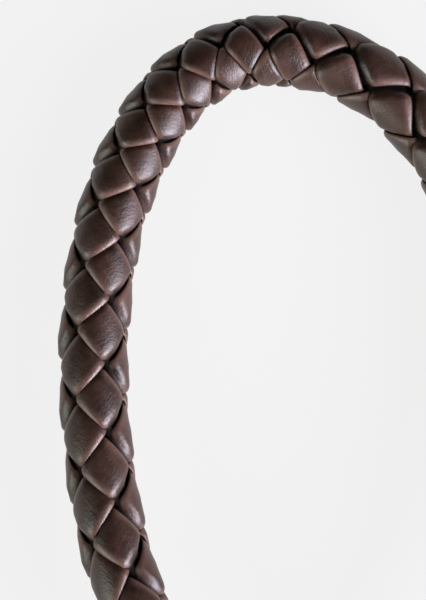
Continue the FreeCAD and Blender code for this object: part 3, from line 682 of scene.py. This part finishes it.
def grip_radius(station):
    """The laces' middle height: the grip's outer radius goes from 10.9 mm up to 11.8 mm at the palm swell
    and back to 11.2 mm, each way along half a cosine wave; the laces' own height comes off it."""
    rise = np.cos(math.pi * np.clip((GRIP_SWELL - station) / (GRIP_SWELL - GRIP_START), 0.0, 1.0))
    fall = np.cos(math.pi * np.clip((station - GRIP_SWELL) / (GRIP_END - GRIP_SWELL), 0.0, 1.0))
    outside = np.where(station < GRIP_SWELL, 0.01135 + 0.00045 * rise, 0.0115 + 0.0003 * fall)
    return outside - GRIP_LIFT - GRIP_THICKNESS / 2.0


def even_station(crossing, each_way):
    """A function that gives the station of a phase where every crossing takes the same length."""
    return lambda phase: phase * each_way / math.pi * crossing


def no_twist(station):
    """No turn beyond the laces' own."""
    return 0.0 * station


# The third colour is the lighter edge line, partly wear and partly painted highlight; the last is the painted
# cut edge, also used as painted shade in the dives.
grip_leather = glazed_calf("glazed_plaited_grip_calf", "1e120d", "432a20", "785c50", "070403")
for name, way in (("grip_laces_turning_left", 1), ("grip_laces_turning_right", -1)):
    laces = plait(name, axis_place, even_station(GRIP_CROSSING, 8), no_twist, way, 8,
                  GRIP_START / GRIP_CROSSING * math.pi / 8, GRIP_END / GRIP_CROSSING * math.pi / 8,
                  grip_radius, thickness=GRIP_THICKNESS, lift=GRIP_LIFT, gap=0.07, crown=0.0001,
                  tilt=0.00005, steps=9, section_points=14, sharpness=2.2, wander=0.012, seed=31 + way)
    laces.data.materials.append(grip_leather)
    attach(laces, "crop")
    if way == 1:
        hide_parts("grip_cover")


def stained_beech():
    """Turned beech, stained dark brown and left matt: dark flecks 1 mm wide and about 10 mm long, along
    the grain."""
    material, tree = new_material("turned_stained_beech")
    place = add_node(tree, "ShaderNodeTexCoord").outputs["Object"]
    grain = add_node(tree, "ShaderNodeMapping", Vector=place, Scale=(900.0, 90.0, 900.0)).outputs[0]
    fleck = add_node(tree, "ShaderNodeTexNoise", Vector=grain, Scale=1.0, Detail=4.0).outputs[0]
    colour = add_node(tree, "ShaderNodeValToRGB", {"stops": [(0.35, "1c110b"), (0.7, "3a2517")]},
                      i0=fleck).outputs[0]
    bump = add_node(tree, "ShaderNodeBump", Height=fleck, Strength=0.3, Distance=0.0001).outputs[0]
    shader = add_node(tree, "ShaderNodeBsdfPrincipled", Base_Color=colour, Roughness=0.7,
                      Normal=bump).outputs[0]
    add_node(tree, "ShaderNodeOutputMaterial", Surface=shader)
    return material


finish_node("grip_former", stained_beech())


# ---- Woven knots -----------------------------------------------------------------------------------
# A leather knot covers either end of the grip's plait: one 4 mm lace woven five times round, over one
# and under one, with thirteen bights along each edge, drawn up tight.
KNOT_LEADS, KNOT_BIGHTS = 5, 13
KNOT_REACH = 0.0053
KNOT_RADIUS = 0.01215
KNOT_FULLNESS = 0.0005
KNOT_LACE = 0.0040
KNOT_LACE_LENGTH = 0.55
KNOT_THICKNESS = 0.0010
KNOT_LIFT = 0.00042


def woven_knot(name, middle):
    """One closed lace round the crop's axis: its angle grows evenly over five turns, while its place
    along the crop is a cosine with thirteen waves. It crosses itself wherever the share of the way is a
    whole number of 65ths of a half turn but not a multiple of five, and at each crossing in turn its
    height goes up or down by the lift, along a flattened cosine. The band is fullest at its middle."""
    rings, points = 1560, 12
    share = np.linspace(0.0, 2.0 * math.pi, rings, endpoint=False)
    visits = np.arange(0, 2 * KNOT_LEADS * KNOT_BIGHTS + 1)
    met = np.where(visits % KNOT_LEADS != 0)[0]
    met_and_beyond = np.concatenate([[met[0] - 2.0], met, [met[-1] + 2.0]])
    order = np.interp(share * KNOT_LEADS * KNOT_BIGHTS / math.pi, met_and_beyond,
                      np.arange(-1.0, len(met) + 1.0))
    wave = np.tanh(1.6 * np.cos(math.pi * order)) / math.tanh(1.6)
    angle = KNOT_LEADS * share
    along = KNOT_REACH * np.cos(KNOT_BIGHTS * share)
    radius = KNOT_RADIUS + KNOT_FULLNESS * (1.0 - (along / 0.0075) ** 2) + KNOT_LIFT * wave
    centre = axis_place(middle + STATION_ORIGIN + along, angle, radius)
    ahead = np.roll(centre, -1, axis=0) - np.roll(centre, 1, axis=0)
    ahead /= np.linalg.norm(ahead, axis=1, keepdims=True)
    out = centre - np.stack([0.0 * along, centre[:, 1], 0.0 * along + AXIS_HEIGHT], axis=1)
    out -= ahead * np.sum(out * ahead, axis=1, keepdims=True)
    out /= np.linalg.norm(out, axis=1, keepdims=True)
    side = np.cross(out, ahead)
    across, height = lace_section(points)
    grid = (centre[:, None, :] + side[:, None, :] * across[None, :, None] * KNOT_LACE / 2.0
            + out[:, None, :] * (height[None, :, None] * KNOT_THICKNESS / 2.0
                                 - 0.00012 * across[None, :, None] ** 2))
    length = np.linspace(0.0, KNOT_LACE_LENGTH, rings)[:, None] + 0.0 * across[None, :]
    return new_piece(name, grid, [closed_band_faces(rings, points)],
                     np.stack([length, across[None, :] * LACE_UV_HALF_WIDTH + 0.0 * length], axis=-1))


# The third colour is the lighter edge line, partly wear and partly painted highlight; the last is the painted
# cut edge.
knot_leather = glazed_calf("glazed_woven_knot_calf", "1e120d", "3f271d", "735449", "070403")
for name, node, middle in (("lower_woven_knot", "lower_knot", 0.1040),
                           ("upper_woven_knot", "upper_knot", 0.2205)):
    knot = woven_knot(name, middle)
    knot.data.materials.append(knot_leather)
    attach(knot, "crop")
    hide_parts(node)


# ---- Ferrule ---------------------------------------------------------------------------------------
# A turned and nickel-plated brass cone with a plain rim at either end, driven over the shaft's cover
# up against the grip.
finish_node("ferrule", satin_nickel)


# ---- Shaft -----------------------------------------------------------------------------------------
# A tapered rod of pultruded glass fibre inside a close round plait of flat glazed thread, eight ends
# each way, each end about 2 mm wide.
SHAFT_START, SHAFT_END = 0.1225, 0.3520
SHAFT_CROSSING = 0.00165
SHAFT_THICKNESS = 0.00055
SHAFT_LIFT = 0.00022


def shaft_radius(station):
    """The threads' middle height: the rod's radius grows evenly from 2.1 mm at its tip to 3.8 mm at the
    grip, 260 mm on, and the plait stands 1.2 mm over it."""
    rod = 0.0021 + 0.0017 * (station - 0.096) / 0.260
    return rod + 0.0012 - SHAFT_LIFT - SHAFT_THICKNESS / 2.0


def glazed_thread():
    """Flat braided thread, dyed dark brown and glazed with shellac: a firm gloss broken by the filaments,
    less than 0.2 mm apart, over slow changes of tone."""
    material, tree = new_material("glazed_flat_thread")
    uv = add_node(tree, "ShaderNodeUVMap", {"uv_map": "along_across"}).outputs[0]
    place = add_node(tree, "ShaderNodeMapping", Vector=uv, Scale=(60.0, 2000.0, 1.0)).outputs[0]
    filament = add_node(tree, "ShaderNodeTexNoise", Vector=place, Scale=1.0, Detail=2.0).outputs[0]
    tone_place = add_node(tree, "ShaderNodeMapping", Vector=uv, Scale=(70.0, 70.0, 1.0)).outputs[0]
    tone = add_node(tree, "ShaderNodeTexNoise", Vector=tone_place, Scale=1.0, Detail=3.0).outputs[0]
    colour = add_node(tree, "ShaderNodeValToRGB", {"stops": [(0.3, "25150f"), (0.7, "3d261d")]},
                      i0=tone).outputs[0]
    bump = add_node(tree, "ShaderNodeBump", Height=filament, Strength=0.5, Distance=0.00008).outputs[0]
    shader = add_node(tree, "ShaderNodeBsdfPrincipled", Base_Color=colour, Roughness=0.36, Normal=bump,
                      IOR=1.52).outputs[0]
    add_node(tree, "ShaderNodeOutputMaterial", Surface=shader)
    return material


shaft_thread = glazed_thread()
for name, way in (("shaft_threads_turning_left", 1), ("shaft_threads_turning_right", -1)):
    threads = plait(name, axis_place, even_station(SHAFT_CROSSING, 8), no_twist, way, 8,
                    SHAFT_START / SHAFT_CROSSING * math.pi / 8, SHAFT_END / SHAFT_CROSSING * math.pi / 8,
                    shaft_radius, thickness=SHAFT_THICKNESS, lift=SHAFT_LIFT, gap=0.10, steps=4,
                    section_points=8, sharpness=1.2, seed=51 + way)
    threads.data.materials.append(shaft_thread)
    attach(threads, "crop")
    if way == 1:
        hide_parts("shaft_cover")


def drawn_glass_fibre():
    """Pultruded glass fibre in black resin: glossy, with fine drawn lines along the rod 0.4 mm apart."""
    material, tree = new_material("pultruded_glass_fibre")
    place = add_node(tree, "ShaderNodeTexCoord").outputs["Object"]
    lines = add_node(tree, "ShaderNodeMapping", Vector=place, Scale=(2600.0, 20.0, 2600.0)).outputs[0]
    line = add_node(tree, "ShaderNodeTexNoise", Vector=lines, Scale=1.0, Detail=2.0).outputs[0]
    colour = add_node(tree, "ShaderNodeValToRGB", {"stops": [(0.3, "0a0a0a"), (0.7, "1b1b1a")]},
                      i0=line).outputs[0]
    bump = add_node(tree, "ShaderNodeBump", Height=line, Strength=0.2, Distance=0.00005).outputs[0]
    shader = add_node(tree, "ShaderNodeBsdfPrincipled", Base_Color=colour, Roughness=0.25, Normal=bump,
                      IOR=1.55).outputs[0]
    add_node(tree, "ShaderNodeOutputMaterial", Surface=shader)
    return material


finish_node("shaft_rod", drawn_glass_fibre())
finish_node("tip_sleeve", bright_steel)


# ---- Keeper ----------------------------------------------------------------------------------------
# One strip of bridle leather, folded at its end so that two leaves lie together, narrowed towards the
# shaft and rolled round its tip. The leaves are sewn 2.2 mm in from their edges, and bend at the neck.
KEEPER_END = -0.2600
LEAF_THICKNESS = 0.0017
LEAF_MIDDLE = 0.00105
FOLD_OUTSIDE = LEAF_MIDDLE + LEAF_THICKNESS / 2.0
FOLD_CENTRE = KEEPER_END + FOLD_OUTSIDE
NECK_MIDDLE = 0.00385
NECK_TOP = -0.1385
SEAM_INSET = 0.0022
LEAF_PLUMP = 0.00035
CURL_START, CURL_END = -0.181, -0.166


def keeper_half_width(y):
    """Half the strip's width: 15 mm, with the fold's corners rounded over 3 mm, then in to 6.5 mm
    between y -206 and -170 mm, and a little less round the shaft's tip. The taper is 65% a straight line
    and 35% a cubic step, which rounds its ends."""
    corner = np.clip((y - KEEPER_END) / 0.003, 0.0, 1.0)
    rounded = 0.012 + 0.003 * np.sqrt(1.0 - (1.0 - corner) ** 2)
    narrowing = smooth_step(y, -0.214, -0.162) * 0.35 + np.clip((y + 0.206) / 0.036, 0.0, 1.0) * 0.65
    return rounded - 0.0088 * narrowing


def keeper_curl(y):
    """How far the strip is rolled, as one over its radius: flat as far as y -181 mm, then curling round
    the shaft's tip by y -166 mm."""
    return smooth_step(y, CURL_START, CURL_END) / NECK_MIDDLE


def keeper_height(y):
    """The leaf's middle above the keeper's own middle plane."""
    return LEAF_MIDDLE + (NECK_MIDDLE - LEAF_MIDDLE) * smooth_step(y, CURL_START, CURL_END)


leaf_rows = 150
leaf_y = NECK_TOP + (FOLD_CENTRE - NECK_TOP) * np.linspace(0.0, 1.0, leaf_rows)
fold_turn = np.linspace(0.0, math.pi, 15)[1:-1]
keeper_y = np.concatenate([leaf_y, FOLD_CENTRE - LEAF_MIDDLE * np.sin(fold_turn), leaf_y[::-1]])
keeper_face = np.concatenate([np.zeros(leaf_rows), fold_turn, np.full(leaf_rows, math.pi)])

# The section goes out along the outer face, dense round the seams' grooves, and back along the inner.
inset = np.array([0.0009, 0.0014, 0.00175, 0.0020, 0.0022, 0.0024, 0.00265, 0.0031, 0.0038])
corner_turn = np.linspace(0.0, math.pi / 2.0, 5)
edge_inset = 0.0005 * (1.0 - np.cos(corner_turn))
edge_height = LEAF_THICKNESS / 2.0 - 0.0005 * (1.0 - np.sin(corner_turn))
from_edge = np.concatenate([edge_inset, inset])
height_there = np.concatenate([edge_height, np.full(len(inset), LEAF_THICKNESS / 2.0)])
groove_there = 0.00030 * np.exp(-((from_edge - SEAM_INSET) / 0.00028) ** 2)
middle_share = np.linspace(-1.0, 1.0, 12)[1:-1]

half_width = keeper_half_width(keeper_y)[:, None]
left_side = -half_width + from_edge[None, :]
middle_part = middle_share[None, :] * (half_width - from_edge[-1])
outer = np.concatenate([left_side, middle_part, -left_side[:, ::-1]], axis=1)
flat_height = np.full(len(middle_share), LEAF_THICKNESS / 2.0)
outer_height = np.concatenate([height_there, flat_height, height_there[::-1]])
inner_edge = half_width - edge_inset[None, :]
inner = np.concatenate([inner_edge, 0.5 * half_width, 0.0 * half_width, -0.5 * half_width,
                        -inner_edge[:, ::-1]], axis=1)
inner_height = np.concatenate([-edge_height, np.full(3, -LEAF_THICKNESS / 2.0), -edge_height[::-1]])
strip_across = np.concatenate([outer, inner], axis=1)
groove = np.concatenate([groove_there, 0.0 * flat_height, groove_there[::-1], 0.0 * inner_height])
sewn = smooth_step(keeper_y, -0.2575, -0.2550) * (1.0 - smooth_step(keeper_y, -0.1880, -0.1850))
strip_height = np.concatenate([outer_height, inner_height])[None, :] - sewn[:, None] * groove[None, :]

# The leaves cup a little between the seams, and the sewn edges are drawn together.
plump = LEAF_PLUMP * (1.0 - (strip_across / half_width) ** 2) * smooth_step(keeper_y, -0.258, -0.245)[:, None]
plump = plump * (1.0 - smooth_step(keeper_y, -0.190, -0.175))[:, None]
curl = np.maximum(keeper_curl(keeper_y), 1e-3)[:, None]
row_number = np.arange(len(keeper_y))
on_leaf = (row_number < leaf_rows) | (row_number >= len(keeper_y) - leaf_rows)
above = np.where(np.cos(keeper_face) >= 0.0, 1.0, -1.0)[:, None]
bent = 1.0 / curl + strip_height
leaf_x = bent * np.sin(curl * strip_across)
leaf_z = above * (keeper_height(keeper_y)[:, None] - 1.0 / curl + bent * np.cos(curl * strip_across) + plump)
fold_x = strip_across
fold_z = (LEAF_MIDDLE + strip_height) * np.cos(keeper_face)[:, None]
fold_y = FOLD_CENTRE - (LEAF_MIDDLE + strip_height) * np.sin(keeper_face)[:, None]
leafy = on_leaf[:, None]
keeper_points = np.stack([
    np.where(leafy, leaf_x, fold_x),
    np.where(leafy, keeper_y[:, None] + 0.0 * leaf_x, fold_y),
    AXIS_HEIGHT + np.where(leafy, leaf_z, fold_z),
], axis=-1)
strip_run = np.concatenate([[0.0], np.cumsum(np.abs(np.diff(keeper_y)) + 0.0001)])
keeper = new_piece("folded_keeper", keeper_points, tube_faces(*strip_across.shape, flip=True), np.stack([
    strip_run[:, None] + 0.0 * strip_across,
    strip_across / half_width * 0.015], axis=-1))
keeper_leather = bridle_leather("waxed_bridle_leather", "2b1914", "462d24", 0.01465, 0.01495, "100a08")
keeper.data.materials.append(keeper_leather)
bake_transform(keeper)
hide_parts("keeper_flap", "keeper_neck")


def seam_place(y, side, face):
    """A point of a seam on the keeper's outer face, a little down in its groove."""
    share = 1.0 - ((keeper_half_width(y) - SEAM_INSET) / keeper_half_width(y)) ** 2
    swell = LEAF_PLUMP * share * smooth_step(y, -0.258, -0.245) * (1.0 - smooth_step(y, -0.190, -0.175))
    surface = LEAF_MIDDLE + LEAF_THICKNESS / 2.0 - 0.00016 + swell
    return np.stack([side * (keeper_half_width(y) - SEAM_INSET), y, AXIS_HEIGHT + face * surface], axis=-1)


STITCH_SPACING = 0.0042
STITCH_LENGTH = 0.0034
first_stitch = -0.2540 + STITCH_SPACING * np.arange(16)
stitch_starts, stitch_ends, stitch_ups = [], [], []
for face in (1.0, -1.0):
    for side in (1.0, -1.0):
        stitch_starts.append(seam_place(first_stitch, side, face))
        stitch_ends.append(seam_place(first_stitch + STITCH_LENGTH, side, face))
        stitch_ups.append(np.tile([0.0, 0.0, face], (len(first_stitch), 1)))
keeper_stitches = sewn_stitches("keeper_stitches", np.concatenate(stitch_starts), np.concatenate(stitch_ends),
                                np.concatenate(stitch_ups), thread=0.0007, rise=0.00030)
keeper_stitches.data.materials.append(linen)
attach(keeper_stitches, "keeper")
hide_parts("keeper_stitching")


# ---- Keeper's rivets -------------------------------------------------------------------------------
# Two brass rivets hold the leaves together where they narrow. Their heads are domed and set down into
# the leather on both faces.
def turned_upright(name, places, profile, segments=40):
    """Round pieces turned about upright lines: the profile's pairs of radius and height go once round
    at each place. The first and last radius are 0."""
    profile = np.asarray(profile, float)
    turn = np.linspace(0.0, 2.0 * math.pi, segments, endpoint=False)
    ring = np.stack([np.cos(turn), np.sin(turn)], axis=1)
    vertices, quads, ends = [], [], []
    rows = len(profile) - 2
    for place in places:
        first = sum(len(part) for part in vertices)
        radii, heights = (profile[1:-1, k].reshape(-1, 1, 1) for k in (0, 1))
        levels = np.broadcast_to(heights, (rows, segments, 1))
        around = np.concatenate([ring[None, :, :] * radii, levels], axis=2)
        poles = np.array([[0.0, 0.0, profile[0, 1]], [0.0, 0.0, profile[-1, 1]]])
        vertices.append(np.concatenate([around.reshape(-1, 3), poles]) + np.asarray(place))
        quads.append(ring_faces(rows, segments, first))
        column = np.arange(segments)
        following = (column + 1) % segments
        last = first + (rows - 1) * segments
        low, high = (np.full(segments, first + rows * segments + k) for k in (0, 1))
        ends.append(np.stack([first + following, first + column, low], axis=1))
        ends.append(np.stack([last + column, last + following, high], axis=1))
    return new_piece(name, np.concatenate(vertices), [np.concatenate(quads), np.concatenate(ends)])


head_turn = np.linspace(0.0, math.pi / 2.0, 8)
head = np.stack([0.0028 * np.cos(head_turn), 0.00215 + 0.0008 * np.sin(head_turn)], axis=1)
rivet_profile = np.concatenate([head[::-1] * np.array([1.0, -1.0]), [(0.0026, -0.0018), (0.0012, -0.0017),
                                (0.0012, 0.0017), (0.0026, 0.0018)], head])
rivet_places = [(0.0, -0.190, AXIS_HEIGHT), (0.0, -0.178, AXIS_HEIGHT)]
rivets = turned_upright("keeper_rivet_pair", rivet_places, rivet_profile)
rivets.data.materials.append(polished_brass)
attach(rivets, "keeper")
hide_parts("keeper_rivets")


# ---- Whipping --------------------------------------------------------------------------------------
# Waxed thread, 0.8 mm thick, wound close over the keeper's neck and on to the end of the shaft's plait,
# with its ends drawn in under the turns.
WHIPPING_START, WHIPPING_END = -0.1620, -0.1340
WHIPPING_THREAD = 0.0008
whipping_run = WHIPPING_END - WHIPPING_START - WHIPPING_THREAD
whipping_turns = whipping_run / WHIPPING_THREAD
whipping_rows = int(whipping_turns * 36)
wound = np.linspace(0.0, 1.0, whipping_rows)
whipping_y = WHIPPING_START + WHIPPING_THREAD / 2.0 + whipping_run * wound
whipping_angle = 2.0 * math.pi * whipping_turns * wound
tucked = smooth_step(wound, 0.0, 0.012) * (1.0 - smooth_step(wound, 0.988, 1.0))
whipping_radius = 0.00500 - 0.0009 * smooth_step(whipping_y, -0.1400, -0.1365) - 0.0006 * (1.0 - tucked)
whipping_centre = axis_place(whipping_y + STATION_ORIGIN, whipping_angle, whipping_radius)
whipping_ahead = np.gradient(whipping_centre, axis=0)
whipping_ahead /= np.linalg.norm(whipping_ahead, axis=1, keepdims=True)
whipping_out = whipping_centre - np.stack([0.0 * wound, whipping_y, 0.0 * wound + AXIS_HEIGHT], axis=1)
whipping_out /= np.linalg.norm(whipping_out, axis=1, keepdims=True)
whipping_side = np.cross(whipping_ahead, whipping_out)
thread_turn = np.linspace(0.0, 2.0 * math.pi, 8, endpoint=False)
# The thread is drawn 4% thicker than its turns are apart, so that no gap shows between them.
outwards = np.cos(thread_turn)[None, :, None] * whipping_out[:, None, :]
sideways = np.sin(thread_turn)[None, :, None] * whipping_side[:, None, :]
whipping_points = whipping_centre[:, None, :] + 1.04 * WHIPPING_THREAD / 2.0 * (outwards + sideways)
whipping = new_piece("tip_whipping", whipping_points, tube_faces(whipping_rows, 8), np.stack([
    (whipping_angle * 0.005)[:, None] + 0.0 * thread_turn[None, :],
    thread_turn[None, :] * WHIPPING_THREAD / 2.0 + 0.0 * wound[:, None]], axis=-1))
whipping.data.materials.append(waxed_linen("black_waxed_thread", "0d0a09", "2a1f1b"))
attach(whipping, "crop")
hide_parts("keeper_whipping")


# ---- Table and light -------------------------------------------------------------------------------
# A pale matt table that glows evenly from below, so that hardly a shadow shows, under a room that is
# dim overhead. Two large soft lights stand to the left and right, and a small low one at the right.
TABLE_SIZE = 30.0
table_mesh = bpy.data.meshes.new("table")
half = TABLE_SIZE / 2.0
table_mesh.from_pydata([(-half, -half, 0), (half, -half, 0), (half, half, 0), (-half, half, 0)], [],
                       [(0, 1, 2, 3)])
table = bpy.data.objects.new("table", table_mesh)
bpy.context.scene.collection.objects.link(table)
table_material, table_tree = new_material("lit_opal_acrylic")
table_shader = add_node(table_tree, "ShaderNodeBsdfPrincipled", Base_Color=linear("404040"), Roughness=0.9,
                        Emission_Color=(1.0, 1.0, 1.0, 1.0), Emission_Strength=0.84)
table_shader.inputs["Specular IOR Level"].default_value = 0.0
add_node(table_tree, "ShaderNodeOutputMaterial", Surface=table_shader.outputs[0])
table.data.materials.append(table_material)

# The room is bright round the horizon and dim overhead.
world = bpy.data.worlds.new("studio")
bpy.context.scene.world = world
world.use_nodes = True
studio = world.node_tree
direction = add_node(studio, "ShaderNodeTexCoord").outputs["Generated"]
upwards = add_node(studio, "ShaderNodeSeparateXYZ", Vector=direction).outputs[2]
strength = add_node(studio, "ShaderNodeMapRange", Value=upwards, From_Min=0.0, From_Max=0.85, To_Min=0.8,
                    To_Max=0.06).outputs[0]
studio.links.new(strength, studio.nodes["Background"].inputs["Strength"])


def softbox(name, place, target, size, watts, tint):
    """A square area light at a place, turned to face a target: its -Z axis runs from place to target."""
    light = bpy.data.lights.new(name, "AREA")
    light.shape = "SQUARE"
    light.size = size
    light.energy = watts
    light.color = linear(tint)[:3]
    lamp = bpy.data.objects.new(name, light)
    lamp.location = place
    across, back, up = (place[k] - target[k] for k in range(3))
    lamp.rotation_euler = (math.atan2(math.hypot(across, back), up), 0.0, math.atan2(across, -back))
    bpy.context.scene.collection.objects.link(lamp)


LIGHT_TARGET = (0.0, 0.37, 0.0)
softbox("front_left_light", (-0.80, -0.10, 0.42), LIGHT_TARGET, size=0.7, watts=9.0, tint="fbfff4")
softbox("right_light", (0.85, -0.05, 0.40), LIGHT_TARGET, size=0.9, watts=31.0, tint="f6f0fd")
softbox("low_right_light", (0.55, -0.10, 0.15), LIGHT_TARGET, size=0.3, watts=8.0, tint="f6f0fd")
